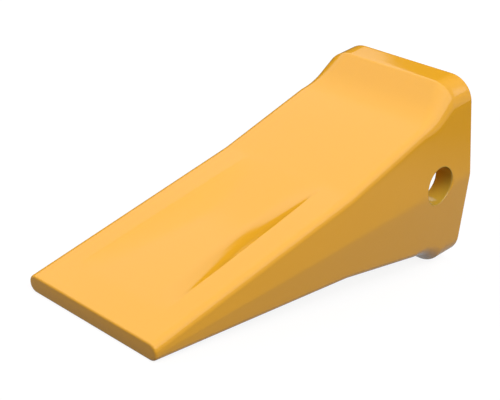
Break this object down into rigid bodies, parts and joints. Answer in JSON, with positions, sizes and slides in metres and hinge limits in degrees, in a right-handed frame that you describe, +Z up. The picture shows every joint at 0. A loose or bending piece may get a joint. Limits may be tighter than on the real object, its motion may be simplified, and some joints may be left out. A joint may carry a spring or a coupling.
{
  "type": "bucket tooth",
  "caption": "Cast steel excavator bucket tooth: a wide flat wedge with relieved faces, a flared collar, a hollow socket for an adapter nose and a cross pin hole.",
  "frame": {"origin": "middle of the bounding box at floor level, with the tooth lying on its lower side", "axes": "+X from the cutting edge towards the socket, +Y across the width (the tooth is symmetric about y = 0), +Z up; the tooth's own centre line rises 13.03 degrees towards the socket"},
  "size_m": [0.279, 0.1086, 0.1275],
  "materials": {
    "yellow_paint": "satin"
  },
  "bodies": {
    "root": {"bucket_tooth": "yellow_paint"}
  },
  "joints": []
}
